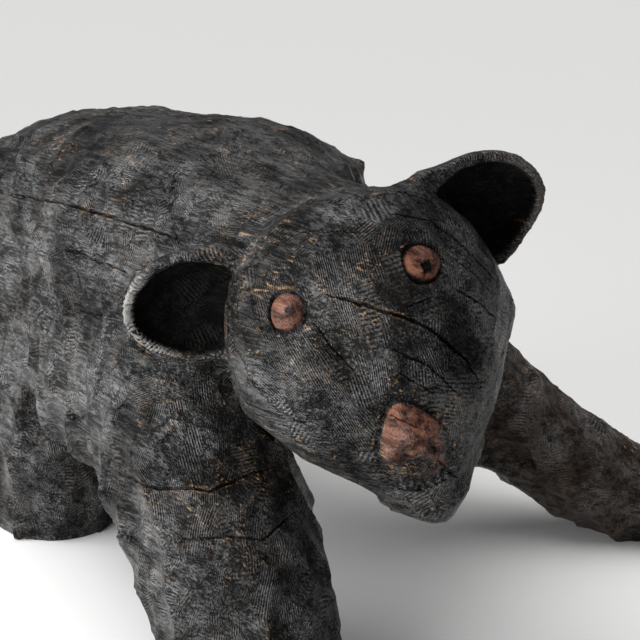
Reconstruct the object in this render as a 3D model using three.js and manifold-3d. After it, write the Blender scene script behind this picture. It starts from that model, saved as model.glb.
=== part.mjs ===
/**
 * Chainsaw carved bear, cut from one log and standing on all fours, in millimetres with +Z up.
 *
 * The bear walks towards -Y, and its left side is +X. It carries its head low and turned to its
 * right, and its left forepaw reaches far out. Every lobe is a sphere drawn out along a curve,
 * and the lobes are joined into one solid that stands on four flat soles. The origin is on the
 * ground, under the middle of the bear's bounding box.
 */
import * as THREE from 'three';
import { mergeVertices } from 'three/addons/utils/BufferGeometryUtils.js';
import Module from 'manifold-3d';

const wasm = await Module();
wasm.setup();

// Trunk: a log lying along Y, as heights above the ground and half widths across it
const BACK_HEIGHT = 600;
const TRUNK_HALF_WIDTH = 196;
const TRUNK_HALF_DEPTH = 182;
const SHOULDER_HALF_WIDTH = 224;
const RUMP_Y = 588;
const HIP_Y = 300;
const SHOULDER_Y = -60;
const NECK_Y = -250;

// Head: its middle, and how far it turns to the bear's right, droops and tips onto its right side
const HEAD_AT = new THREE.Vector3(-105, -440, 415);
const HEAD_TURN = 19;
const HEAD_DROOP = 37;
const HEAD_TILT = 24;
const HEAD_HALF_WIDTH = 162;
const SNOUT_LENGTH = 215;

// Ears: open bowls at the sides of the skull
const RIGHT_EAR_AT = new THREE.Vector3(-172, 73, 46);
const LEFT_EAR_AT = new THREE.Vector3(158, 72, 35);
const EAR_HALF_WIDTH = 78;
const EAR_HALF_HEIGHT = 66;
const EAR_DEPTH = 56;
const EAR_WALL = 12;
const EAR_RIM_FORWARD = 10;
const EAR_UPWARD = 40;
const EAR_OUTWARD = 8;

// An ear's outline, by angle round its open side: 0 is outward from the skull and 90 is up
const EAR_TRIM = { angle: -48, span: 36, share: -0.17 };
const RIGHT_EAR_ROOT = { angle: 140, span: 24, share: 0.16 };
const LEFT_EAR_ROOT = { angle: 143, span: 22, share: 0.5 };

// Eyes and nose: low domes left standing on the face
const EYE_RADIUS = 20;
const EYE_STAND = 15;
const RIGHT_EYE_AT = new THREE.Vector3(-72, -15, 109);
const LEFT_EYE_AT = new THREE.Vector3(64, -15, 110);
const EYE_PITCH = 18;
const EYE_OUTWARD = 23;
const NOSE_RADIUS = 33;
const NOSE_STAND = 20;
const NOSE_AT = new THREE.Vector3(-3, -160, 31);
const NOSE_PITCH = 28;

// Legs and paws: half widths where each leg is slimmest, and the size of a paw's low mound
const FORELEG_HALF_WIDTH = 102;
const REACHING_HALF_WIDTH = 72;
const HIND_LEG_HALF_WIDTH = 98;
const PAW_HALF_LENGTH = 114;
const FOREPAW_HALF_HEIGHT = 58;
const HIND_PAW_HALF_HEIGHT = 34;

const CHARRED_WOOD = { color: 0x2a2a2b, roughness: 0.5, metalness: 0 };

const ACROSS = new THREE.Vector3(1, 0, 0);
const GROUND_SIZE = 3000;

/** A station on a lobe: where its middle is, and its half width across and half depth. */
function station(x, y, z, across, deep) {
  return { at: new THREE.Vector3(x, y, z), half: new THREE.Vector3(across, deep, 0) };
}

/** How far a rounded square of half width one reaches at an angle: a power of 2 is a circle. */
function cornerReach(angle, power) {
  return (Math.abs(Math.cos(angle)) ** power + Math.abs(Math.sin(angle)) ** power) ** (-1 / power);
}

/**
 * A closed lobe along a smooth line of stations: a unit sphere whose poles go to the two ends.
 * A higher fullness keeps the lobe thick close to its ends, and square pushes out its corners.
 */
function lobe(stations, { around = 26, along = 18, fullness = 4, square = 2.2 } = {}) {
  const spine = new THREE.CatmullRomCurve3(stations.map((s) => s.at));
  const girth = new THREE.CatmullRomCurve3(stations.map((s) => s.half));
  const sphere = new THREE.SphereGeometry(1, around, along);
  const position = sphere.attributes.position;
  const point = new THREE.Vector3();
  for (let i = 0; i < position.count; i++) {
    point.fromBufferAttribute(position, i);
    const t = THREE.MathUtils.clamp((1 - point.y) / 2, 0, 1);
    const full = Math.sqrt(Math.max(0, 1 - Math.abs(point.y) ** fullness));
    const angle = Math.atan2(point.z, point.x);
    const corner = cornerReach(angle, square);
    const forward = spine.getTangent(t);
    const side = ACROSS.clone().addScaledVector(forward, -forward.dot(ACROSS)).normalize();
    const up = new THREE.Vector3().crossVectors(forward, side);
    const half = girth.getPoint(t);
    point.copy(spine.getPoint(t));
    point.addScaledVector(side, half.x * full * corner * Math.cos(angle));
    point.addScaledVector(up, half.y * full * corner * Math.sin(angle));
    position.setXYZ(i, point.x, point.y, point.z);
  }
  return sphere;
}

/** A closed geometry as a manifold solid. */
function solid(geometry) {
  const bare = geometry.index ? geometry.clone() : geometry;
  bare.deleteAttribute('normal');
  bare.deleteAttribute('uv');
  const merged = mergeVertices(bare, 1e-3);
  return new wasm.Manifold(new wasm.Mesh({
    numProp: 3,
    vertProperties: new Float32Array(merged.attributes.position.array),
    triVerts: new Uint32Array(merged.index.array),
  }));
}

/** A manifold solid as a three.js geometry. */
function geometryOf(manifold) {
  const mesh = manifold.getMesh();
  const geometry = new THREE.BufferGeometry();
  geometry.setAttribute('position', new THREE.BufferAttribute(mesh.vertProperties, 3));
  geometry.setIndex(new THREE.BufferAttribute(mesh.triVerts, 1));
  geometry.computeVertexNormals();
  return geometry;
}

/** The trunk and neck as one lobe from the rump to inside the head. */
function trunk() {
  const middle = BACK_HEIGHT - TRUNK_HALF_DEPTH;
  return lobe([
    station(0, RUMP_Y, middle - 6, TRUNK_HALF_WIDTH - 8, TRUNK_HALF_DEPTH),
    station(0, HIP_Y, middle - 4, TRUNK_HALF_WIDTH + 14, TRUNK_HALF_DEPTH + 2),
    station(-16, (HIP_Y + SHOULDER_Y) / 2, middle - 2, TRUNK_HALF_WIDTH + 10, TRUNK_HALF_DEPTH),
    station(-32, SHOULDER_Y, middle + 2, SHOULDER_HALF_WIDTH + 4, TRUNK_HALF_DEPTH + 2),
    station(-78, NECK_Y, middle + 10, 138, 144),
    station(HEAD_AT.x + 20, HEAD_AT.y + 70, HEAD_AT.z + 20, 128, 118),
    station(HEAD_AT.x, HEAD_AT.y, HEAD_AT.z, 100, 90),
  ], { around: 36, along: 30, fullness: 6, square: 2.4 });
}

/** The head in its own frame, with the snout along -Y and the crown up, before it is turned. */
function headLobe() {
  return lobe([
    station(0, 145, 10, 100, 92),
    station(0, 65, 12, 150, 139),
    station(-2, -20, -8, HEAD_HALF_WIDTH - 5, 128),
    station(-1, -95, -27, 115, 104),
    station(0, -160, -45, 62, 78),
    station(3, -SNOUT_LENGTH, -58, 33, 38),
  ], { around: 32, along: 26, fullness: 5, square: 2.1 });
}

/** Moves a geometry from the head's frame to where the head is carried. */
function carryHead(geometry) {
  const turn = new THREE.Euler(
    THREE.MathUtils.degToRad(HEAD_DROOP),
    THREE.MathUtils.degToRad(-HEAD_TILT),
    THREE.MathUtils.degToRad(-HEAD_TURN),
    'ZXY',
  );
  const pose = new THREE.Matrix4().makeRotationFromEuler(turn).setPosition(HEAD_AT);
  return geometry.applyMatrix4(pose);
}

/** Turns an ear's piece so that its open side faces up the snout, and sets it on its side of the skull. */
function carryEar(geometry, at) {
  geometry.rotateZ(THREE.MathUtils.degToRad(Math.sign(at.x) * EAR_OUTWARD));
  geometry.rotateX(THREE.MathUtils.degToRad(-EAR_UPWARD));
  geometry.translate(at.x, at.y, at.z);
  return carryHead(geometry);
}

/** How much an outline swells or draws in at an angle in degrees. */
function swell(degrees, { angle, span, share }) {
  const apart = THREE.MathUtils.euclideanModulo(degrees - angle + 180, 360) - 180;
  return share * Math.exp(-((apart / span) ** 2));
}

/** An egg with the given half sizes, whose outline across Y follows the swells on its outward side. */
function earEgg(halfWidth, depth, halfHeight, side, swells) {
  const egg = new THREE.SphereGeometry(1, 26, 18);
  const position = egg.attributes.position;
  for (let i = 0; i < position.count; i++) {
    const x = position.getX(i);
    const z = position.getZ(i);
    const degrees = THREE.MathUtils.radToDeg(Math.atan2(z, x * side));
    const reach = swells.reduce((sum, each) => sum + swell(degrees, each), 1);
    position.setXYZ(i, x * reach * halfWidth, position.getY(i) * depth, z * reach * halfHeight);
  }
  return egg;
}

/** One ear: an egg-shaped shell with a root up to the crown, cut off flat in front and hollowed. */
function ear(at, root) {
  const side = Math.sign(at.x);
  const outside = earEgg(EAR_HALF_WIDTH, EAR_DEPTH, EAR_HALF_HEIGHT, side, [EAR_TRIM, root]);
  const front = new THREE.BoxGeometry(4 * EAR_HALF_WIDTH, 2 * EAR_DEPTH, 4 * EAR_HALF_HEIGHT);
  front.translate(0, -EAR_DEPTH - EAR_RIM_FORWARD, 0);
  const inside = [EAR_HALF_WIDTH, EAR_DEPTH, EAR_HALF_HEIGHT].map((half) => half - EAR_WALL);
  const hollow = earEgg(...inside, side, [EAR_TRIM]);
  hollow.translate(0, -EAR_RIM_FORWARD, 0);
  return solid(carryEar(outside, at))
    .subtract(solid(carryEar(front, at)))
    .subtract(solid(carryEar(hollow, at)));
}

/** A low dome standing on the face, tipped forward and outward to face the way the face does there. */
function faceDome(at, radius, stand, forward, outward) {
  const dome = new THREE.SphereGeometry(1, 20, 14).scale(radius, radius, stand);
  dome.rotateX(THREE.MathUtils.degToRad(forward));
  dome.rotateY(THREE.MathUtils.degToRad(outward));
  dome.translate(at.x, at.y, at.z);
  return solid(carryHead(dome));
}

function head() {
  let shape = solid(carryHead(headLobe()));
  shape = shape.add(ear(RIGHT_EAR_AT, RIGHT_EAR_ROOT));
  shape = shape.add(ear(LEFT_EAR_AT, LEFT_EAR_ROOT));
  shape = shape.add(faceDome(RIGHT_EYE_AT, EYE_RADIUS, EYE_STAND, EYE_PITCH, -EYE_OUTWARD));
  shape = shape.add(faceDome(LEFT_EYE_AT, EYE_RADIUS, EYE_STAND, EYE_PITCH, EYE_OUTWARD));
  return shape.add(faceDome(NOSE_AT, NOSE_RADIUS, NOSE_STAND, NOSE_PITCH, 0));
}

/** A leg through its stations, from inside the trunk to just below the ground. */
function leg(stations) {
  return solid(lobe(stations, { around: 20, along: 18, fullness: 6, square: 2.3 }));
}

/** The low mound of a paw, which the ground cuts off flat. */
function paw(x, y, halfWidth, halfHeight) {
  const mound = new THREE.SphereGeometry(1, 22, 14).scale(halfWidth, PAW_HALF_LENGTH, halfHeight);
  return solid(mound.translate(x, y, halfHeight / 4));
}

/** The right foreleg carries the weight, just behind the head. */
function rightForeleg() {
  return leg([
    station(-62, -10, 520, 90, 110),
    station(-118, -48, 415, 114, 162),
    station(-178, -155, 298, FORELEG_HALF_WIDTH + 12, 150),
    station(-218, -292, 180, FORELEG_HALF_WIDTH + 3, 116),
    station(-236, -388, 80, FORELEG_HALF_WIDTH, 108),
    station(-246, -440, -40, FORELEG_HALF_WIDTH - 8, 112),
  ]).add(paw(-248, -448, FORELEG_HALF_WIDTH - 4, FOREPAW_HALF_HEIGHT));
}

/** The left foreleg reaches out to the side, and its forearm lies low along the ground. */
function leftForeleg() {
  return leg([
    station(50, -30, 450, 104, 120),
    station(158, -132, 322, REACHING_HALF_WIDTH + 28, 120),
    station(302, -300, 166, REACHING_HALF_WIDTH + 4, 84),
    station(396, -412, 74, REACHING_HALF_WIDTH, 76),
    station(510, -522, 26, REACHING_HALF_WIDTH, 62),
  ]);
}

/** The right hind leg steps far forward, and its paw lands close behind the forepaw. */
function rightHindLeg() {
  return leg([
    station(-62, 330, 500, 100, 110),
    station(-112, 270, 360, 114, 152),
    station(-166, 190, 180, HIND_LEG_HALF_WIDTH + 2, 118),
    station(-194, 152, 70, HIND_LEG_HALF_WIDTH - 6, 104),
    station(-198, 146, -60, HIND_LEG_HALF_WIDTH - 8, 104),
  ]).add(paw(-202, 160, HIND_LEG_HALF_WIDTH + 2, HIND_PAW_HALF_HEIGHT));
}

/** The low flank from the right elbow back to the thigh, which overhangs the hind leg. */
function rightFlank() {
  return leg([
    station(-176, -210, 320, 84, 120),
    station(-190, -60, 262, 88, 126),
    station(-182, 60, 268, 84, 112),
    station(-160, 190, 300, 84, 104),
    station(-130, 340, 340, 70, 90),
  ]);
}

/** The left hind leg stands back under the hip. */
function leftHindLeg() {
  return leg([
    station(62, 360, 500, 100, 110),
    station(115, 350, 360, 116, 155),
    station(175, 385, 180, HIND_LEG_HALF_WIDTH + 4, 118),
    station(200, 395, 70, HIND_LEG_HALF_WIDTH - 3, 100),
    station(205, 380, -60, HIND_LEG_HALF_WIDTH - 6, 102),
  ]).add(paw(206, 372, HIND_LEG_HALF_WIDTH, HIND_PAW_HALF_HEIGHT));
}

/** A stub of a tail on the rump. */
function tail() {
  return solid(lobe([
    station(0, RUMP_Y - 60, 470, 40, 36),
    station(0, RUMP_Y - 5, 462, 36, 32),
    station(0, RUMP_Y + 38, 436, 26, 24),
  ], { around: 16, along: 12 }));
}

/** The whole bear as one solid, cut off flat where it meets the ground. */
function bear() {
  const parts = [head(), rightForeleg(), leftForeleg(), rightHindLeg(), leftHindLeg()];
  parts.push(rightFlank(), tail());
  const whole = parts.reduce((shape, part) => shape.add(part), solid(trunk()));
  const ground = new THREE.BoxGeometry(GROUND_SIZE, GROUND_SIZE, GROUND_SIZE);
  ground.translate(0, 0, -GROUND_SIZE / 2);
  return whole.subtract(solid(ground));
}

const geometry = geometryOf(bear());
geometry.computeBoundingBox();
const middle = geometry.boundingBox.getCenter(new THREE.Vector3());

const mesh = new THREE.Mesh(geometry, new THREE.MeshStandardMaterial(CHARRED_WOOD));
mesh.name = 'bear';
mesh.position.set(-middle.x, -middle.y, 0);

const root = new THREE.Group();
root.add(mesh);
export default root;
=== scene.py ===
import math

import bmesh
import bpy
import numpy as np
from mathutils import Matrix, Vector, kdtree
from mathutils.bvhtree import BVHTree


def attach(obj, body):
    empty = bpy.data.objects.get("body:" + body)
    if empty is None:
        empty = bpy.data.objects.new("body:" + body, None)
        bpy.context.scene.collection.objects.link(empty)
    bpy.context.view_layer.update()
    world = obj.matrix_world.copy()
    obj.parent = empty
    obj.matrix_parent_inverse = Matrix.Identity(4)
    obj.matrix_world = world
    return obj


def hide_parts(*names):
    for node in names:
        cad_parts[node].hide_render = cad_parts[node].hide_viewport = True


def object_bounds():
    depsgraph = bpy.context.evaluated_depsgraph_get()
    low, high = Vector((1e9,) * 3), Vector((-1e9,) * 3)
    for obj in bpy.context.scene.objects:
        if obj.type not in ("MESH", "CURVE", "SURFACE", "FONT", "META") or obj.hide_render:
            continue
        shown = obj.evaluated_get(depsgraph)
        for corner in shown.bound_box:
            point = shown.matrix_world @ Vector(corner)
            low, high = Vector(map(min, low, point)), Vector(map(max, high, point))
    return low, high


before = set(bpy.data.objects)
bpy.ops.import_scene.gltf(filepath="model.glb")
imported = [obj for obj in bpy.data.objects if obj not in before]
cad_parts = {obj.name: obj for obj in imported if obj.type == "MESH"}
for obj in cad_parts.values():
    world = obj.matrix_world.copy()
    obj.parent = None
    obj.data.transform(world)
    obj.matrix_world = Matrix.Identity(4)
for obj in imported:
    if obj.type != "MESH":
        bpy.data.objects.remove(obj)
FRAME_LOW, FRAME_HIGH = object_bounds()

MM = 0.001
VOXEL = 4.0 * MM
BODY_TRIANGLES = 92000
HEAD_TRIANGLES = 104000
SEED = 7

# The head's own frame: x to the bear's left, -y along the snout, z out of the forehead.
HEAD_AT = np.array((-0.1944, -0.4551, 0.4150))
HEAD_TURN, HEAD_DROOP, HEAD_TILT = math.radians(19), math.radians(37), math.radians(24)


def turned(axis, angle):
    c, s = math.cos(angle), math.sin(angle)
    if axis == "x":
        return np.array(((1, 0, 0), (0, c, -s), (0, s, c)))
    if axis == "y":
        return np.array(((c, 0, s), (0, 1, 0), (-s, 0, c)))
    return np.array(((c, -s, 0), (s, c, 0), (0, 0, 1)))


HEAD_AXES = turned("z", -HEAD_TURN) @ turned("x", HEAD_DROOP) @ turned("y", -HEAD_TILT)


def to_head(p):
    """Row metres to head millimetres."""
    return (p - HEAD_AT) @ HEAD_AXES / MM


def from_head(q):
    return np.asarray(q, float) * MM @ HEAD_AXES.T + HEAD_AT


def unit(v):
    return v / (np.linalg.norm(v, axis=-1, keepdims=True) + 1e-12)


def ramp(x, low, high):
    """0 below low, 1 above high, smooth between."""
    t = np.clip((x - low) / (high - low), 0, 1)
    return t * t * (3 - 2 * t)


def lattice_noise(p, seed):
    """Smooth noise from -1 to 1 over points whose unit is one lump."""
    cell = np.floor(p).astype(np.int64)
    t = p - cell
    t = t * t * (3 - 2 * t)
    total = np.zeros(len(p))
    for corner in range(8):
        step = np.array((corner & 1, corner >> 1 & 1, corner >> 2 & 1))
        k = (cell + step) * np.array((73856093, 19349663, 83492791))
        h = k[:, 0] ^ k[:, 1] ^ k[:, 2] ^ (seed * 40503)
        h = ((h ^ (h >> 13)) * 60493) & 0x7FFFFFFF
        h = ((h ^ (h >> 11)) * 19379) & 0x7FFFFFFF
        value = (h ^ (h >> 9)) % 65536 / 32767.5 - 1
        total += value * np.where(step, t, 1 - t).prod(axis=1)
    return total


def cloud(p, size, seed, octaves=3):
    """Fractal noise with lumps of the given size in metres, a number or one for each axis."""
    total, weight = np.zeros(len(p)), 0.0
    for k in range(octaves):
        share = 0.5 ** k
        total += share * lattice_noise(p / np.asarray(size) * 2 ** k + 17.3 * k, seed + k)
        weight += share
    return total / weight


# ---------------------------------------------------------------- the even base mesh

def mesh_arrays(mesh):
    co = np.empty(len(mesh.vertices) * 3)
    mesh.vertices.foreach_get("co", co)
    edges = np.empty(len(mesh.edges) * 2, np.int64)
    mesh.edges.foreach_get("vertices", edges)
    return co.reshape(-1, 3), edges.reshape(-1, 2)


def normals_of(mesh):
    out = np.empty(len(mesh.vertices) * 3)
    mesh.vertices.foreach_get("normal", out)
    return out.reshape(-1, 3)


def put(mesh, co):
    mesh.vertices.foreach_set("co", co.astype(np.float32).ravel())
    mesh.update()


def averager(edges, count):
    """Returns a function that gives each vertex the mean of its neighbours."""
    a, b = edges[:, 0], edges[:, 1]
    many = np.maximum(np.bincount(a, minlength=count) + np.bincount(b, minlength=count), 1)

    def mean(values):
        out = np.empty_like(values)
        for k in range(values.shape[1]):
            v = values[:, k]
            out[:, k] = np.bincount(a, v[b], count) + np.bincount(b, v[a], count)
        return out / many[:, None]

    return mean


def baked(obj, name):
    """A new mesh with the object's modifiers applied."""
    graph = bpy.context.evaluated_depsgraph_get()
    mesh = bpy.data.meshes.new_from_object(obj.evaluated_get(graph), depsgraph=graph)
    mesh.name = name
    return mesh


bear = bpy.data.objects.new("carved_bear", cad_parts["bear"].data.copy())
bpy.context.scene.collection.objects.link(bear)
bear.data.materials.clear()
remesh = bear.modifiers.new("even", "REMESH")
remesh.mode = "VOXEL"
remesh.voxel_size = VOXEL
bear.data = baked(bear, "even")
bear.modifiers.clear()

LEFT_EAR_AT, RIGHT_EAR_AT = (158, 72, 35), (-172, 73, 46)
LEFT_EAR, RIGHT_EAR = from_head(LEFT_EAR_AT), from_head(RIGHT_EAR_AT)


def ear_share(p):
    """1 round the ears, whose thin walls must keep their shape."""
    d = np.minimum(np.linalg.norm(p - LEFT_EAR, axis=1), np.linalg.norm(p - RIGHT_EAR, axis=1))
    return 1 - ramp(d, 0.075, 0.105)


EAR_UPWARD, EAR_OUTWARD, RIM_FORWARD = math.radians(40), math.radians(8), 10.0
EARS = ((LEFT_EAR_AT, 1), (RIGHT_EAR_AT, -1))


def ear_frames(p):
    """For each ear: outward, upward and forward distances from the middle of its rim, in mm."""
    q = to_head(p)
    for at, side in EARS:
        axes = turned("x", -EAR_UPWARD) @ turned("z", side * EAR_OUTWARD)
        local = (q - np.array(at)) @ axes
        yield side * local[:, 0], local[:, 2], -local[:, 1] - RIM_FORWARD


def head_share(p):
    """1 on the face and the crown, 0 on the neck and the body."""
    q = to_head(p)
    return (1 - ramp(q[:, 1], 60, 130)) * ramp(q[:, 2], -90, -40)


def smoothed_base(mesh):
    co, edges = mesh_arrays(mesh)
    mean = averager(edges, len(co))
    for k in range(24):
        co = co + (mean(co) - co) * (0.5 if k % 2 == 0 else -0.52)
    skull = (head_share(co) * (1 - ear_share(co)))[:, None]
    for k in range(80):
        co = co + (mean(co) - co) * skull * (0.5 if k % 2 == 0 else -0.51)
    put(mesh, co)
    far = co.copy()
    for _ in range(110):
        far = mean(far)
    normal = normals_of(mesh)
    rise = ((far - co) * normal).sum(axis=1)
    keep = np.maximum(ear_share(co), head_share(co))
    lift = np.where(rise > 0, rise, 0.35 * rise) * (1 - keep)
    for _ in range(4):
        lift = mean(lift[:, None])[:, 0]
    sole = co[:, 2] < 1.5 * MM
    co = co + normal * lift[:, None]
    co[sole, 2] = 0
    near = co.copy()
    for _ in range(6):
        near = mean(near)
    soft = (1 - keep)[:, None] * 0.9
    soft[sole] = 0
    co = co * (1 - soft) + near * soft
    co[:, 2] = np.maximum(co[:, 2], 0)
    put(mesh, co)


smoothed_base(bear.data)


def split_where(mesh, chosen):
    """Cuts every edge whose ends are both chosen into two."""
    bm = bmesh.new()
    bm.from_mesh(mesh)
    bm.verts.ensure_lookup_table()
    co = np.array([v.co[:] for v in bm.verts])
    mark = chosen(co)
    edges = [e for e in bm.edges if mark[e.verts[0].index] and mark[e.verts[1].index]]
    bmesh.ops.subdivide_edges(bm, edges=edges, cuts=1, use_grid_fill=True)
    bmesh.ops.triangulate(bm, faces=[f for f in bm.faces if len(f.verts) > 4])
    bm.to_mesh(mesh)
    bm.free()


def wants_2mm(co):
    q = to_head(co)
    face = (q[:, 2] > -60) & (q[:, 1] < 130) & (np.abs(q[:, 0]) < 185)
    near_side = (co[:, 0] < -0.12) & (co[:, 1] < 0.1) & (co[:, 2] > 0.15)
    return face | (ear_share(co) > 0) | near_side


def wants_1mm(co):
    q = to_head(co)
    face = (q[:, 2] > -25) & (q[:, 1] < 95) & (np.abs(q[:, 0]) < 155)
    return face | (ear_share(co) > 0.5)


split_where(bear.data, wants_2mm)
split_where(bear.data, wants_1mm)


# ---------------------------------------------------------------- cracks that follow the log

def surface_of(mesh):
    bm = bmesh.new()
    bm.from_mesh(mesh)
    tree = BVHTree.FromBMesh(bm)
    bm.free()
    return tree


surface = surface_of(bear.data)
rng = np.random.default_rng(SEED)


def on_face(points):
    """Head-frame x and y in mm, dropped on to the face along the head's z."""
    down = Vector(-HEAD_AXES[:, 2])
    out = []
    for x, y in points:
        hit = surface.ray_cast(Vector(from_head((x, y, 260))), down)[0]
        if hit is not None:
            out.append(hit)
    return out


def on_body(points):
    return [surface.find_nearest(Vector(p) * MM)[0] for p in points]


crack_points, crack_wide, crack_deep, crack_gold = [], [], [], []


def crack(stops, wide, deep, gold=0.0, wander=1.1):
    """A split through the stops. wide is the opening at its middle and deep its depth, in mm."""
    stops = np.array([s[:] for s in stops])
    reach = np.r_[0, np.cumsum(np.linalg.norm(np.diff(stops, axis=0), axis=1))]
    at = np.arange(0, reach[-1], 0.5 * MM)
    line = np.stack([np.interp(at, reach, stops[:, k]) for k in range(3)], axis=1)
    phase = rng.uniform(0, 50, 3)
    for k in range(3):
        seedling = np.stack([at / 0.014 + phase[k], at * 0, at * 0], axis=1)
        line[:, k] += wander * MM * (lattice_noise(seedling, 5) + 0.5 * lattice_noise(seedling * 3.1, 6))
    t = at / max(reach[-1], 1e-6)
    body = np.clip(np.minimum(t, 1 - t) * 6, 0.15, 1) ** 0.7
    ragged = 1 + 0.25 * lattice_noise(np.stack([at / 0.006 + phase[0], at * 0, at * 0], axis=1), 9)
    for p, s in zip(line, body * ragged):
        crack_points.append(surface.find_nearest(Vector(p))[0])
        crack_wide.append(max(0.5, wide * s))
        crack_deep.append(deep * s)
        crack_gold.append(gold)


# across the face, from the brow to the cheek
crack(on_face(((-118, 36), (-83, 13), (-51, -5), (-31, -20))), 2.0, 1.2, gold=1.0)
crack(on_face(((-33, -21), (-5, -41), (22, -58), (52, -76), (75, -106), (80, -122))), 3.3, 6.0)
crack(on_face(((4, -83), (36, -104), (58, -134))), 2.2, 3.0)
crack(on_face(((7, -105), (33, -131))), 1.8, 2.4)
crack(on_face(((-54, -40), (-42, -72), (-30, -98))), 1.6, 2.0)
crack(on_face(((36, -56), (66, -50))), 1.8, 2.0)
crack(on_face(((20, 92), (57, 80), (100, 54), (135, 5), (147, -12))), 2.4, 3.5)
crack(on_face(((50, 40), (78, 29), (102, 13), (134, -30))), 2.0, 3.0)
crack(on_face(((86, -42), (104, -56), (122, -68))), 2.2, 3.0)
crack(on_face(((88, -4), (112, -30), (128, -46))), 1.6, 2.2)
crack(on_face(((-18, -134), (12, -157))), 1.4, 2.0)
crack(on_face(((15, -183), (28, -190))), 2.0, 2.4)
crack(on_face(((-70, 62), (-20, 44), (28, 20))), 1.0, 1.2)
# along the trunk and round the near foreleg
crack(on_body(((-286, 266, 480), (-322, 90, 500), (-325, -87, 508), (-295, -262, 492))), 4.0, 7.0)
crack(on_body(((-342, -40, 455), (-325, -180, 445))), 2.6, 4.0)
crack(on_body(((-334, 0, 368), (-353, -186, 398))), 2.4, 3.5)
crack(on_body(((-289, -210, 514), (-297, -238, 486))), 2.4, 3.0)
crack(on_body(((-420, -230, 240), (-398, -328, 244), (-361, -385, 252), (-264, -392, 258))), 3.2, 5.0)
crack(on_body(((-400, -380, 205), (-330, -440, 205), (-270, -420, 212))), 2.4, 4.0)
crack(on_body(((-107, -205, 581), (-140, -262, 571))), 2.6, 3.0)
# the far side and the rump, split like the side that shows
crack(on_body(((250, 250, 420), (262, 60, 430), (255, -120, 425))), 3.6, 6.0)
crack(on_body(((270, 120, 330), (275, -40, 335))), 2.4, 3.5)
crack(on_body(((-60, 480, 520), (-40, 250, 560), (-50, 90, 575))), 2.6, 3.5)
crack(on_body(((60, 540, 380), (120, 420, 400))), 2.4, 3.0)

crack_wide, crack_deep, crack_gold = map(np.array, (crack_wide, crack_deep, crack_gold))
crack_tree = kdtree.KDTree(len(crack_points))
for k, p in enumerate(crack_points):
    crack_tree.insert(p, k)
crack_tree.balance()
crack_xyz = np.array([p[:] for p in crack_points])
CRACK_LOW, CRACK_HIGH = crack_xyz.min(axis=0) - 0.01, crack_xyz.max(axis=0) + 0.01


def crack_at(co):
    """For each point: its distance from the nearest split in mm, and that split's number."""
    far = np.full(len(co), 99.0)
    which = np.zeros(len(co), np.int64)
    for k in range(len(co)):
        _, j, d = crack_tree.find(co[k])
        far[k], which[k] = d / MM, j
    return far, which


def wants_half_mm(co):
    far, which = crack_at(co)
    return far < crack_wide[which] * 0.5 + 2.0


split_where(bear.data, wants_half_mm)
split_where(bear.data, wants_half_mm)


# ---------------------------------------------------------------- gouge cuts

co, edges = mesh_arrays(bear.data)
normal = normals_of(bear.data)


def stroke_way(p, n):
    """The way the blade ran at each point: along the back, down the sides and legs, down the face."""
    way = np.tile(np.array((0.0, 1.0, 0.0)), (len(p), 1))
    side = ramp(0.8 - n[:, 2], 0, 0.3)[:, None]
    way = way * (1 - side) + np.array((0.1, 0.25, 1.0)) * side
    face = head_share(p)[:, None]
    brow = ramp(to_head(p)[:, 1], -5, 40)[:, None]
    on_face_way = HEAD_AXES[:, 1] * (1 - brow) + HEAD_AXES[:, 0] * brow
    way = way * (1 - face) + on_face_way * face
    way += rng.normal(0, 0.36, way.shape) * (1 - 0.7 * face)
    return unit(way - (way * n).sum(axis=1, keepdims=True) * n)


def gouges(spacing, low, high, tip, seed):
    """Cuts spread over the surface no nearer than spacing, each with its own width from low to high."""
    local = np.random.default_rng(seed)
    order = local.permutation(len(co))[:60000]
    taken, cells = [], {}
    for j in order:
        key = tuple(np.floor(co[j] / spacing).astype(int))
        near = [cells.get((key[0] + a, key[1] + b, key[2] + c)) for a in (-1, 0, 1)
                for b in (-1, 0, 1) for c in (-1, 0, 1)]
        if any(m is not None and np.sum((co[m] - co[j]) ** 2) < spacing ** 2 for m in near):
            continue
        cells[key] = j
        taken.append(j)
    taken = np.array(taken)
    at, n = co[taken], normal[taken]
    way = stroke_way(at, n)
    tree = kdtree.KDTree(len(taken))
    for k, p in enumerate(at):
        tree.insert(p, k)
    tree.balance()
    bowl = local.uniform(low, high, len(taken))
    return {"at": at, "n": n, "way": way, "across": np.cross(n, way), "tree": tree, "bowl": bowl,
            "run": bowl * local.uniform(2.0, 5.0, len(taken)), "phase": local.uniform(0, 1, len(taken)),
            "pitch": local.uniform(3.8, 5.6, len(taken)) * MM,
            "sunk": local.uniform(-1, 1, len(taken)) * spacing * 0.035,
            "tip": local.normal(0, tip, (len(taken), 2))}


def cut_by(cuts, p, near=7):
    """For each point: its height over its cut's floor, its turns across and along, and the cut's draw."""
    pick = np.empty((len(p), near), np.int64)
    find = cuts["tree"].find_n
    for k in range(len(p)):
        pick[k] = [r[1] for r in find(p[k], near)]
    d = p[:, None, :] - cuts["at"][pick]
    s = (d * cuts["way"][pick]).sum(axis=2)
    t = (d * cuts["across"][pick]).sum(axis=2)
    h = (d * cuts["n"][pick]).sum(axis=2)
    rise = s ** 2 / (2 * cuts["run"][pick]) + (t ** 2 + h ** 2) / (2 * cuts["bowl"][pick])
    rise += cuts["tip"][pick][:, :, 0] * s + cuts["tip"][pick][:, :, 1] * t - cuts["sunk"][pick]
    best = rise.argmin(axis=1)
    rows = np.arange(len(p))
    owner = pick[rows, best]
    turns = s[rows, best] / cuts["pitch"][owner] + cuts["phase"][owner] * 7
    lines = t[rows, best] / (0.55 * cuts["pitch"][owner]) + cuts["phase"][owner] * 5
    return rise[rows, best], turns, lines, cuts["phase"][owner]


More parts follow.
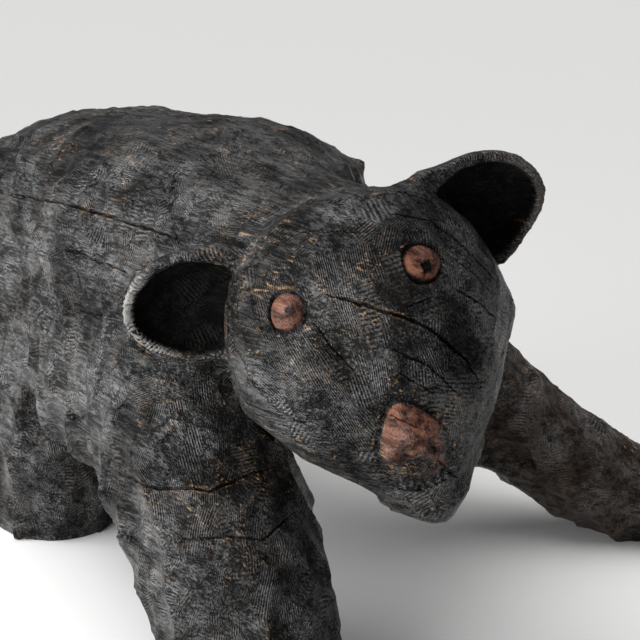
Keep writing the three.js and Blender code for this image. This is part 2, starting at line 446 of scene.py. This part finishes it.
BIG = gouges(0.040, 0.040, 0.070, 0.10, 11)
MID = gouges(0.022, 0.035, 0.080, 0.06, 12)

# each eye's seat, its outward lean, whether it is drawn up to a point, and its highest spot
RIGHT_EYE = (-72.0, -15, 108.5, -0.38, True, (8.0, -4.0))
LEFT_EYE = (64.0, -15, 109.5, 0.38, False, (-1.0, -8.0))
EYES = (RIGHT_EYE, LEFT_EYE)
EYE_WIDE = 19.0
POINT_WIDE, PUPIL_WIDE = 4.2, 5.4


def eye_frame(eye):
    x, y, z, out = eye[:4]
    axis = unit(np.array((out, -0.30, 0.87)))
    side = unit(np.cross((0.0, 1.0, 0.0), axis))
    return np.array((x, y, z)), side, np.cross(axis, side), axis


def in_eye(q, eye):
    at, u, v, w = eye_frame(eye)
    d = q - at
    return d @ u, d @ v, d @ w


def from_peak(a, b, eye):
    """0 at the eye's highest spot and 1 on its round edge."""
    cx, cy = eye[5]
    dx, dy = a - cx, b - cy
    spare = EYE_WIDE ** 2 - cx ** 2 - cy ** 2
    along = dx * cx + dy * cy
    return (along + np.sqrt(along ** 2 + spare * (dx ** 2 + dy ** 2))) / spare


def pupil_reach(a, b, eye):
    """Distance in mm from the middle of the pupil, round on the pointed eye and square on the other."""
    dx, dy = a - eye[5][0], b - eye[5][1]
    if eye[4]:
        return np.hypot(dx, dy)
    return np.maximum(np.abs(dx * 0.94 + dy * 0.34), np.abs(dy * 0.94 - dx * 0.34))


NOSE = np.array((-4.0, -160.0, 46.0))
NOSE_WIDE, NOSE_LONG = 33, 32
NOSTRILS = ((-15, -172, 6.5), (14, -172, 4.5))


def nose_reach(d):
    """0 at the middle of the nose and 1 on its edge, which is narrower towards the brow."""
    wide = NOSE_WIDE * (1 - 0.28 * ramp(d[:, 1], -4, 34))
    return np.hypot(d[:, 0] / wide, d[:, 1] / NOSE_LONG)


def bump_at(q, x, y, wide, long_, angle, height):
    """A soft swelling or hollow on the face; angle turns its long way from the head's y."""
    a = math.radians(angle)
    dx, dy = q[:, 0] - x, q[:, 1] - y
    s = -dx * math.sin(a) + dy * math.cos(a)
    t = dx * math.cos(a) + dy * math.sin(a)
    return height * np.exp(-(s / long_) ** 2 - (t / wide) ** 2) * ramp(q[:, 2], -50, 0)


# how strongly the left and the right ear's rim is cut across, and how strongly a highlight is painted on
# that rim
RIM_CUTS = (0.25, 1.0)
RIM_HIGHLIGHT_SHARE = (0.2, 1.0)
RIM_RADIUS, RIM_PITCH = 68, 6.0


def relief(p, n):
    """How far each point is carved in (negative) or stands out, in metres, along its normal."""
    q = to_head(p)
    face, ear = head_share(p), ear_share(p)
    body = (1 - face) * (1 - ear)
    top = ramp(n[:, 2], 0.55, 0.85) * body
    big, big_turns, _, _ = cut_by(BIG, p)
    mid, mid_turns, _, _ = cut_by(MID, p)
    out = (1.5 * body - 1.1 * top + 0.35 * face * (1 - ear)) * big / MM
    out += (0.65 * body + 0.60 * face * (1 - ear) + 0.25 * ear) * mid / MM
    out -= 3.0 * body + 1.0 * face
    # chatter of the chain across each cut
    rough = 0.5 + 0.5 * cloud(p, 0.05, 31, 2)
    dense = np.maximum(face, ear)
    out += 0.25 * dense * rough * np.sin(2 * math.pi * mid_turns)
    out += 0.45 * body * rough * np.sin(2 * math.pi * big_turns * 0.55)
    # streaks along the grain
    out += (0.35 + 1.5 * top) * body * cloud(p, (0.012, 0.16, 0.012), 41, 3)
    out += 0.7 * face * cloud(p, (0.008, 0.11, 0.008), 47, 3)
    out += 1.0 * body * cloud(p, 0.06, 51, 2)
    out += 0.2 * cloud(p, 0.006, 61, 2)
    for side, (outward, upward, forward) in zip(RIM_CUTS, ear_frames(p)):
        reach = np.hypot(outward, upward * 1.15)
        rim = np.exp(-(forward / 9) ** 2) * ramp(reach, 45, 56) * (1 - ramp(reach, 84, 96)) * ear
        turn = np.arctan2(upward, outward) * RIM_RADIUS / RIM_PITCH + 1.6 * cloud(p, 0.02, 33, 2)
        outer_arc = ramp(outward - 0.3 * np.abs(upward), 10, 40)
        out += side * rim * (0.75 * np.sin(2 * math.pi * turn) - 0.5) * outer_arc
        out += rim * 2.0 * cloud(p, 0.018, 35, 2)
    # the planes of the face
    out += bump_at(q, -12, 2, 30, 24, 20, -5.0)
    out += bump_at(q, 30, -20, 26, 22, 0, -3.0)
    out += bump_at(q, -6, -78, 20, 46, 8, 3.0)
    out += bump_at(q, -48, -100, 16, 40, -20, -3.0)
    out += bump_at(q, 52, -92, 18, 40, 24, -4.5)
    out += bump_at(q, 84, -110, 9, 46, 28, 3.5)
    out += bump_at(q, -78, 24, 34, 13, 10, 3.0)
    out += bump_at(q, 66, 24, 32, 13, -10, 3.0)
    out += bump_at(q, -3, -186, 30, 14, 0, -3.0)
    return out * MM


shift = relief(co, normal)
far, which = crack_at(co)
half = crack_wide[which] * 0.5
open_ = np.clip(1 - far / (half + 0.35), 0, 1)
lip = np.exp(-((far - half - 1.2) / 1.2) ** 2) * np.minimum(1, crack_wide[which] / 4)
shift -= crack_deep[which] * MM * open_ ** 0.6
shift += 0.5 * MM * lip

q = to_head(co)
for eye in EYES:
    a, b, w = in_eye(q, eye)
    r = np.hypot(a, b)
    near_eye = (r < 32) & (np.abs(w) < 30)
    shift[near_eye] *= ramp(r[near_eye], 18, 30)
sole = (co[:, 2] < 1.0 * MM) & (normal[:, 2] < -0.7)
shift[sole] = 0
carved = co + normal * shift[:, None]

# the eyes: one drawn up to a point, the other flatter with a sunk pupil, each in a cut groove
q = to_head(carved)
for eye in EYES:
    w = eye_frame(eye)[3]
    a, b, c = in_eye(q, eye)
    wobble = 1 + 0.05 * np.sin(np.arctan2(b, a) * 3 + eye[0])
    r = np.hypot(a, b) / wobble
    seat = (r > 23) & (r < 28) & (np.abs(c) < 25)
    around = np.stack([a[seat], b[seat], np.ones(seat.sum())], axis=1)
    fit = np.linalg.lstsq(around, c[seat], rcond=None)[0]
    plane = fit[0] * a + fit[1] * b + fit[2]
    t = np.clip(from_peak(a, b, eye), 0, 1)
    dent = pupil_reach(a, b, eye)
    if eye[4]:
        shape = 15.0 * (1 - t ** 1.25) + 2.0 * np.sqrt(np.clip(1 - t * t, 0, 1))
        shape -= 2.0 * np.exp(-(dent / 2.4) ** 2)
    else:
        shape = 11.5 * (1 - t ** 2.1)
        shape -= 1.8 * ramp(5.6 - dent, 0, 1.6)
    shape += 0.35 * cloud(q * MM, (0.003, 0.02, 0.01), 71, 2) * (r < EYE_WIDE)
    groove = -4.2 * np.exp(-((r - EYE_WIDE - 1.4) / 1.7) ** 2)
    want = np.where(r < EYE_WIDE, plane + shape, c) + groove
    blend = (1 - ramp(r, 24, 27)) * (np.abs(c) < 34)
    lift = (want - c) * blend
    q = q + w * lift[:, None]

# the nose: an uneven knob with two nostril dents and streaks down it
d = q - NOSE
reach = nose_reach(d)
nose = (1 - ramp(reach, 0.9, 1.15)) * (np.abs(d[:, 2]) < 34)
nose_way = unit(np.array((-0.09, -0.28, 0.96)))
knob = 2.2 * cloud(q * MM, (0.007, 0.035, 0.012), 81, 3) * nose
edge = np.exp(-((reach - 1.08) / 0.08) ** 2) * (np.abs(d[:, 2]) < 34)
dome = np.sqrt(np.clip(1 - reach ** 2, 0, 1)) * ramp(d[:, 1], -30, 2) * (np.abs(d[:, 2]) < 34)
knob += 10.0 * dome - 2.8 * edge * ramp(d[:, 1], -22, -8)
knob += 3.0 * np.exp(-((d[:, 0] + 3) / 9) ** 2 - ((d[:, 1] + 2) / 16) ** 2)
grooved = ramp(-d[:, 1], 12, 24) * (1 - ramp(np.abs(d[:, 0]), 24, 34)) * (np.abs(d[:, 2]) < 45)
knob -= grooved * (1.6 + 1.6 * np.sin(2 * math.pi * d[:, 0] / 8.5 + 1.5 * cloud(q * MM, 0.02, 85, 2)))
for x, y, wide in NOSTRILS:
    knob -= 8.5 * np.exp(-((q[:, 0] - x) / wide) ** 2 - ((q[:, 1] - y) / wide) ** 2) * (q[:, 2] > 15)
q = q + nose_way * knob[:, None]
carved = from_head(q)

LOW, HIGH = np.array(FRAME_LOW), np.array(FRAME_HIGH)
carved = np.clip(carved, LOW, HIGH)
carved[sole, 2] = LOW[2]
put(bear.data, carved)

# ---------------------------------------------------------------- fewer triangles where it is plain

def thinned(obj, chosen, target):
    """Collapses edges where chosen, the flattest first, until the chosen part has about target triangles."""
    obj.data.calc_loop_triangles()
    corner = np.empty(len(obj.data.loop_triangles) * 3, np.int64)
    obj.data.loop_triangles.foreach_get("vertices", corner)
    inside = chosen[corner.reshape(-1, 3)].all(axis=1).sum()
    total = len(obj.data.loop_triangles)
    group = obj.vertex_groups.new(name="thin")
    group.add(np.nonzero(chosen)[0].tolist(), 1.0, "REPLACE")
    fewer = obj.modifiers.new("fewer", "DECIMATE")
    fewer.ratio = min(1.0, (total - inside + target) / total)
    fewer.use_collapse_triangulate = True
    fewer.vertex_group = "thin"
    fewer.vertex_group_factor = 1000.0
    obj.data = baked(obj, "carved_bear")
    obj.modifiers.clear()
    obj.vertex_groups.clear()


def fine_part(co):
    return np.maximum(head_share(co), ear_share(co)) > 0.5


thinned(bear, ~fine_part(mesh_arrays(bear.data)[0]), BODY_TRIANGLES)
thinned(bear, fine_part(mesh_arrays(bear.data)[0]), HEAD_TRIANGLES)
put(bear.data, np.clip(mesh_arrays(bear.data)[0], LOW, HIGH))

# ---------------------------------------------------------------- what the surface is like, point by point

co, edges = mesh_arrays(bear.data)
normal = normals_of(bear.data)
mean = averager(edges, len(co))
smooth = co.copy()
for _ in range(3):
    smooth = mean(smooth)
standing = ((co - smooth) * normal).sum(axis=1) / MM
q = to_head(co)
far, which = crack_at(co)
half = crack_wide[which] * 0.5


def mark(name, values):
    layer = bear.data.attributes.new(name, "FLOAT", "POINT")
    layer.data.foreach_set("value", np.asarray(values, np.float32))


mark("ridge", np.clip(0.5 + standing * 0.9, 0, 1))
# split: painted shade blackening the inside of each crack
mark("split", (1 - ramp(far, half * 0.7, half + 0.5)) * (1 - crack_gold[which]))
edge = np.exp(-((far - half - 1.0) / 0.9) ** 2) * ramp(crack_wide[which], 2.5, 3.2)
edge *= ramp(cloud(co, 0.022, 95, 2), -0.1, 0.4)
mark("split_gold", np.maximum((1 - ramp(far, half * 0.6, half + 1.2)) * crack_gold[which], 0.55 * edge))
eye_mark = np.zeros(len(co))
pupil = np.zeros(len(co))
eye_groove_shade = np.zeros(len(co))
for eye in EYES:
    a, b, c = in_eye(q, eye)
    r = np.hypot(a, b)
    here = np.abs(c) < 32
    eye_mark = np.maximum(eye_mark, (1 - ramp(r, EYE_WIDE - 1.5, EYE_WIDE + 0.5)) * here)
    # painted shade in the cut groove round each eye
    eye_groove_shade = np.maximum(eye_groove_shade, np.exp(-((r - EYE_WIDE - 1.4) / 1.6) ** 2) * here)
    size = POINT_WIDE if eye[4] else PUPIL_WIDE
    pupil = np.maximum(pupil, (1 - ramp(pupil_reach(a, b, eye), size - 1.2, size + 1.2)) * here)
mark("eye", eye_mark)
mark("pupil", pupil)
mark("eye_groove_shade", eye_groove_shade)
d = q - NOSE
uneven = 0.18 * cloud(q * MM, 0.012, 91, 2)
nose = (1 - ramp(nose_reach(d) + uneven, 0.85, 1.0)) * (np.abs(d[:, 2]) < 36)
# the red gives way to the snout's black before the knob's lower edge, a painted shade under its overhang
nose *= ramp(d[:, 1] + 10 * cloud(q * MM, 0.015, 93, 2) + 0.25 * d[:, 0], -24, -14)
# painted shade in the two nostril dents
nostril_shade = np.zeros(len(co))
for x, y, wide in NOSTRILS:
    nostril_shade = np.maximum(nostril_shade, np.exp(-((q[:, 0] - x) / wide) ** 2 - ((q[:, 1] - y) / wide) ** 2))
mark("nose", nose)
mark("nostril_shade", nostril_shade * nose)
_, mid_turns, mid_lines, draw = cut_by(MID, co)
mark("turns", mid_turns)
mark("lines", mid_lines)
mark("draw", draw)
mark("face", head_share(co))
mark("top", ramp(normal[:, 2], 0.45, 0.8) * (1 - head_share(co)))
shaded_ear_hollows, rim_highlight = np.zeros(len(co)), np.zeros(len(co))
for side, (outward, upward, forward) in zip(RIM_HIGHLIGHT_SHARE, ear_frames(co)):
    reach = np.hypot(outward / 70, upward / 60)
    # painted shade, near black, fills the hollow of each ear
    bowl = (1 - ramp(reach, 0.92, 1.06)) * (1 - ramp(forward, -10, -2)) * (forward > -60)
    shaded_ear_hollows = np.maximum(shaded_ear_hollows, bowl)
    # a painted highlight on the outer arc of each ear's rim, strong on the bear's right ear and faint on its
    # left, partly worn char; the rim attribute carries it
    across = np.hypot(outward, upward * 1.15)
    near_rim = np.exp(-((forward + 1) / 5) ** 2) * ramp(across, 48, 58) * (1 - ramp(across, 84, 96))
    rim_highlight = np.maximum(rim_highlight, side * near_rim * ramp(outward - 0.3 * np.abs(upward), 12, 40))
mark("ear_hollow_shade", shaded_ear_hollows * ear_share(co))
mark("rim", rim_highlight * ear_share(co))
mark("brown", ramp(co[:, 0], 0.0, 0.1) * ramp(0.36 - co[:, 2], 0, 0.1) * ramp(-0.1 - co[:, 1], 0, 0.1))

bear.data.polygons.foreach_set("use_smooth", np.ones(len(bear.data.polygons), bool))
bear.data.update()


# ---------------------------------------------------------------- charred wood


class Nodes:
    """Short names for building a shader."""

    def __init__(self, material):
        material.use_nodes = True
        self.tree = material.node_tree
        self.tree.nodes.clear()

    def add(self, kind, **sockets):
        node = self.tree.nodes.new(kind)
        for name, value in sockets.items():
            self.feed(node.inputs[name.replace("_", " ")], value)
        return node

    def feed(self, socket, value):
        if isinstance(value, bpy.types.NodeSocket):
            self.tree.links.new(value, socket)
        else:
            socket.default_value = value

    def attribute(self, name):
        node = self.tree.nodes.new("ShaderNodeAttribute")
        node.attribute_name = name
        return node.outputs["Fac"]

    def maths(self, operation, a, b=0.0, clamp=False):
        node = self.tree.nodes.new("ShaderNodeMath")
        node.operation = operation
        node.use_clamp = clamp
        self.feed(node.inputs[0], a)
        self.feed(node.inputs[1], b)
        return node.outputs[0]

    def times(self, a, b):
        return self.maths("MULTIPLY", a, b)

    def plus(self, a, b):
        return self.maths("ADD", a, b)

    def rest(self, a):
        """What is left of 1."""
        return self.maths("SUBTRACT", 1.0, a)

    def span(self, value, low, high, out_low=0.0, out_high=1.0):
        """out_low where value is below low, out_high where it is above high, smooth between."""
        node = self.tree.nodes.new("ShaderNodeMapRange")
        node.interpolation_type = "SMOOTHSTEP"
        names = ("Value", "From Min", "From Max", "To Min", "To Max")
        for name, v in zip(names, (value, low, high, out_low, out_high)):
            self.feed(node.inputs[name], v)
        return node.outputs["Result"]

    def noise(self, where, scale, detail=3.0, rough=0.55):
        node = self.add("ShaderNodeTexNoise", Scale=scale, Detail=detail, Roughness=rough)
        self.tree.links.new(where, node.inputs["Vector"])
        return node.outputs["Fac"]

    def stretched(self, where, x, y, z):
        node = self.tree.nodes.new("ShaderNodeMapping")
        node.inputs["Scale"].default_value = (x, y, z)
        self.tree.links.new(where, node.inputs["Vector"])
        return node.outputs["Vector"]

    def blend(self, share, a, b):
        node = self.tree.nodes.new("ShaderNodeMix")
        node.data_type = "RGBA"
        self.feed(node.inputs[0], share)
        self.feed(node.inputs[6], a)
        self.feed(node.inputs[7], b)
        return node.outputs[2]


SOOT, CHAR = (0.0028, 0.0028, 0.0030, 1), (0.0085, 0.0078, 0.0070, 1)
# The scuffed grey is partly worn char and partly a painted highlight on raised lines; the rim grey is a
# painted highlight on the ear rims, partly worn char.
SCUFFED_AND_LIT_GREY, RIM_HIGHLIGHT_GREY, BROWN = (0.080, 0.071, 0.064, 1), (0.20, 0.19, 0.18, 1), (0.050, 0.033, 0.022, 1)
BARE_WOOD, BARE_AT_SPLIT = (0.30, 0.175, 0.085, 1), (0.30, 0.17, 0.075, 1)
RED_DARK, RED_PALE = (0.034, 0.012, 0.008, 1), (0.165, 0.064, 0.038, 1)
RED_GROOVE, RED_WORN = (0.014, 0.009, 0.008, 1), (0.33, 0.19, 0.13, 1)
# The near-black deep colours are painted shade in recesses: the cracks, the eye grooves, the nostrils and
# the ear hollows; the first also gives the pupils their own dark colour.
SHADE_AND_PUPIL_BLACK, EAR_SHADE_BLACK = (0.003, 0.0027, 0.0024, 1), (0.003, 0.003, 0.003, 1)
BUMP_HEIGHT = 1.9 * MM


def charred_wood():
    material = bpy.data.materials.new("charred_wood")
    n = Nodes(material)
    where = n.tree.nodes.new("ShaderNodeTexCoord").outputs["Object"]
    along = n.stretched(where, 1.0, 0.07, 1.0)
    grain = n.noise(along, 420.0, 3.0, 0.6)
    streak = n.noise(along, 95.0, 3.0, 0.6)
    patches = n.noise(where, 9.0, 3.0, 0.6)
    areas = n.noise(where, 24.0, 2.0, 0.5)
    specks = n.noise(where, 520.0, 2.0, 0.6)
    flecks = n.noise(n.stretched(where, 1.0, 0.16, 1.0), 330.0, 2.0, 0.6)

    sway = n.times(n.noise(where, 60.0, 2.0), 3.5)
    across = n.maths("SINE", n.plus(n.times(n.attribute("turns"), 2 * math.pi), sway))
    along_cut = n.maths("SINE", n.plus(n.times(n.attribute("lines"), 2 * math.pi), sway))
    kind = n.span(n.attribute("draw"), 0.24, 0.30)
    hatch = n.plus(n.times(across, n.rest(kind)), n.times(along_cut, kind))
    hatch = n.times(n.plus(hatch, 1.0), 0.5)
    red_part = n.maths("MAXIMUM", n.attribute("eye"), n.attribute("nose"))
    hatch_share = n.times(n.span(areas, 0.34, 0.62, 0.1, 1.0), n.rest(n.times(red_part, 0.85)))
    lines = n.span(grain, 0.30, 0.70)
    height = n.plus(n.times(n.times(hatch, hatch_share), 0.40), n.times(lines, 0.42))
    height = n.plus(height, n.times(streak, 0.9))
    height = n.plus(height, n.times(specks, 0.55))

    char = n.blend(n.span(patches, 0.35, 0.68), SOOT, CHAR)
    # Pale grey where the fine grain and cuts stand highest: partly worn char, partly a painted highlight
    # standing in for glints on the raised lines, so the low points stay painted darker.
    pale_and_lit = n.times(n.span(height, 1.05, 1.45), n.span(patches, 0.30, 0.65, 0.35, 1.0))
    char = n.blend(n.times(pale_and_lit, 0.7), char, SCUFFED_AND_LIT_GREY)
    ridge = n.attribute("ridge")
    # painted highlight on the raised ridges of the ear rims, partly worn char
    char = n.blend(n.times(n.attribute("rim"), n.span(ridge, 0.42, 0.75)), char, RIM_HIGHLIGHT_GREY)
    char = n.blend(n.times(n.attribute("brown"), n.span(streak, 0.35, 0.7, 0.15, 0.8)), char, BROWN)
    where_worn = n.maths("MAXIMUM", n.span(ridge, 0.60, 0.85), n.span(areas, 0.53, 0.66))
    worn = n.times(n.span(flecks, 0.585, 0.64), where_worn)
    worn = n.times(worn, n.span(patches, 0.42, 0.56))
    most_worn = n.plus(n.attribute("face"), n.attribute("top"))
    worn = n.times(worn, n.maths("ADD", 0.12, most_worn, clamp=True))
    char = n.blend(n.times(worn, 0.8), char, BARE_WOOD)
    at_split = n.times(n.attribute("split_gold"), n.span(grain, 0.35, 0.6, 0.2, 0.9))
    char = n.blend(at_split, char, BARE_AT_SPLIT)

    red = n.blend(n.span(streak, 0.38, 0.62), RED_DARK, RED_PALE)
    red = n.blend(n.times(n.span(grain, 0.50, 0.70), 0.75), red, RED_GROOVE)
    red = n.blend(n.span(specks, 0.60, 0.75, 0.0, 0.35), red, RED_WORN)
    colour = n.blend(n.attribute("eye"), char, red)
    colour = n.blend(n.times(n.attribute("nose"), n.span(specks, 0.25, 0.5, 0.7, 1.0)), colour, red)
    # the pupils in their own dark colour, and painted shade in the eye grooves, the nostrils and the cracks
    pupil_and_shade = n.maths("MAXIMUM", n.attribute("pupil"), n.attribute("eye_groove_shade"))
    pupil_and_shade = n.maths("MAXIMUM", pupil_and_shade, n.attribute("nostril_shade"))
    pupil_and_shade = n.maths("MAXIMUM", pupil_and_shade, n.attribute("split"))
    colour = n.blend(pupil_and_shade, colour, SHADE_AND_PUPIL_BLACK)
    # painted shade in the ear hollows
    colour = n.blend(n.times(n.attribute("ear_hollow_shade"), 0.85), colour, EAR_SHADE_BLACK)

    rough = n.span(patches, 0.3, 0.7, 0.26, 0.42)
    rough = n.plus(rough, n.span(specks, 0.3, 0.7, -0.04, 0.08))
    rough = n.plus(rough, n.times(n.attribute("ear_hollow_shade"), 0.35))
    rough = n.maths("ADD", rough, n.times(pupil_and_shade, 0.3), clamp=True)
    bump = n.add("ShaderNodeBump", Strength=1.0, Distance=BUMP_HEIGHT, Height=height)
    sheen = n.span(n.noise(where, 14.0, 3.0), 0.36, 0.62, 0.15, 0.8)
    sheen = n.times(sheen, n.span(height, 0.80, 1.25, 0.12, 1.0))
    sheen = n.times(sheen, n.rest(n.times(n.attribute("ear_hollow_shade"), 0.8)))

    shader = n.add("ShaderNodeBsdfPrincipled")
    n.feed(shader.inputs["Base Color"], colour)
    n.feed(shader.inputs["Roughness"], rough)
    n.feed(shader.inputs["Specular IOR Level"], sheen)
    n.feed(shader.inputs["Normal"], bump.outputs["Normal"])
    shader.inputs["IOR"].default_value = 1.52
    out = n.tree.nodes.new("ShaderNodeOutputMaterial")
    n.tree.links.new(shader.outputs["BSDF"], out.inputs["Surface"])
    return material


bear.data.materials.append(charred_wood())
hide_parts("bear")
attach(bear, "root")


# ---------------------------------------------------------------- floor, light and camera

def plain(name, colour, roughness):
    material = bpy.data.materials.new(name)
    n = Nodes(material)
    shader = n.add("ShaderNodeBsdfPrincipled")
    shader.inputs["Base Color"].default_value = colour
    shader.inputs["Roughness"].default_value = roughness
    out = n.tree.nodes.new("ShaderNodeOutputMaterial")
    n.tree.links.new(shader.outputs["BSDF"], out.inputs["Surface"])
    return material


def flat_square(name, half_size, z):
    mesh = bpy.data.meshes.new(name)
    h = half_size
    mesh.from_pydata([(-h, -h, z), (h, -h, z), (h, h, z), (-h, h, z)], [], [(0, 1, 2, 3)])
    obj = bpy.data.objects.new(name, mesh)
    bpy.context.scene.collection.objects.link(obj)
    return obj


floor = flat_square("floor", 300.0, -0.0005)
floor.data.materials.append(plain("pale_floor", (0.72, 0.715, 0.70, 1), 0.8))


def soft_light(name, at, towards, size, power, tint=(1, 1, 1)):
    data = bpy.data.lights.new(name, "AREA")
    data.shape = "RECTANGLE"
    data.size, data.size_y = size
    data.energy = power
    data.color = tint
    obj = bpy.data.objects.new(name, data)
    obj.location = at
    obj.rotation_mode = "QUATERNION"
    obj.rotation_quaternion = (Vector(towards) - Vector(at)).to_track_quat("-Z", "Y")
    bpy.context.scene.collection.objects.link(obj)


soft_light("window", (-1.65, 0.75, 0.50), (-0.25, -0.05, 0.35), (1.5, 0.7), 40, (0.97, 0.985, 1.0))
soft_light("side", (-1.75, -0.55, 0.60), (-0.3, -0.4, 0.30), (0.9, 0.9), 22, (0.97, 0.985, 1.0))


def compass(azimuth, elevation):
    """The way to something at a bearing round the bear (0 is its front, 90 its left), in degrees."""
    a, e = math.radians(azimuth), math.radians(elevation)
    return Vector((math.sin(a) * math.cos(e), -math.cos(a) * math.cos(e), math.sin(e)))


def wide_sun(name, azimuth, elevation, angle, strength):
    """A broad patch of light from a compass direction."""
    data = bpy.data.lights.new(name, "SUN")
    data.angle = math.radians(angle)
    data.energy = strength
    obj = bpy.data.objects.new(name, data)
    obj.rotation_mode = "QUATERNION"
    obj.rotation_quaternion = compass(azimuth, elevation).to_track_quat("Z", "Y")
    bpy.context.scene.collection.objects.link(obj)


wide_sun("ceiling", 150, 75, 60, 1.9)
wide_sun("skylight", -137, 62, 32, 0.85)

world = bpy.data.worlds.new("studio")
world.use_nodes = True
world.node_tree.nodes["Background"].inputs["Color"].default_value = (0.93, 0.95, 1.0, 1)
world.node_tree.nodes["Background"].inputs["Strength"].default_value = 0.22
bpy.context.scene.world = world
bpy.context.scene.view_settings.view_transform = "Standard"

camera_data = bpy.data.cameras.new("camera")
camera_data.lens = 60.0
camera_data.sensor_width = 36.0
camera_data.clip_start = 0.01
camera = bpy.data.objects.new("camera", camera_data)
back = compass(-40, 17)
camera.location = (-0.9404, -1.2605, 0.7620)
camera.rotation_mode = "QUATERNION"
camera.rotation_quaternion = (-back).to_track_quat("-Z", "Y")
bpy.context.scene.collection.objects.link(camera)
bpy.context.scene.camera = camera

bpy.context.view_layer.update()
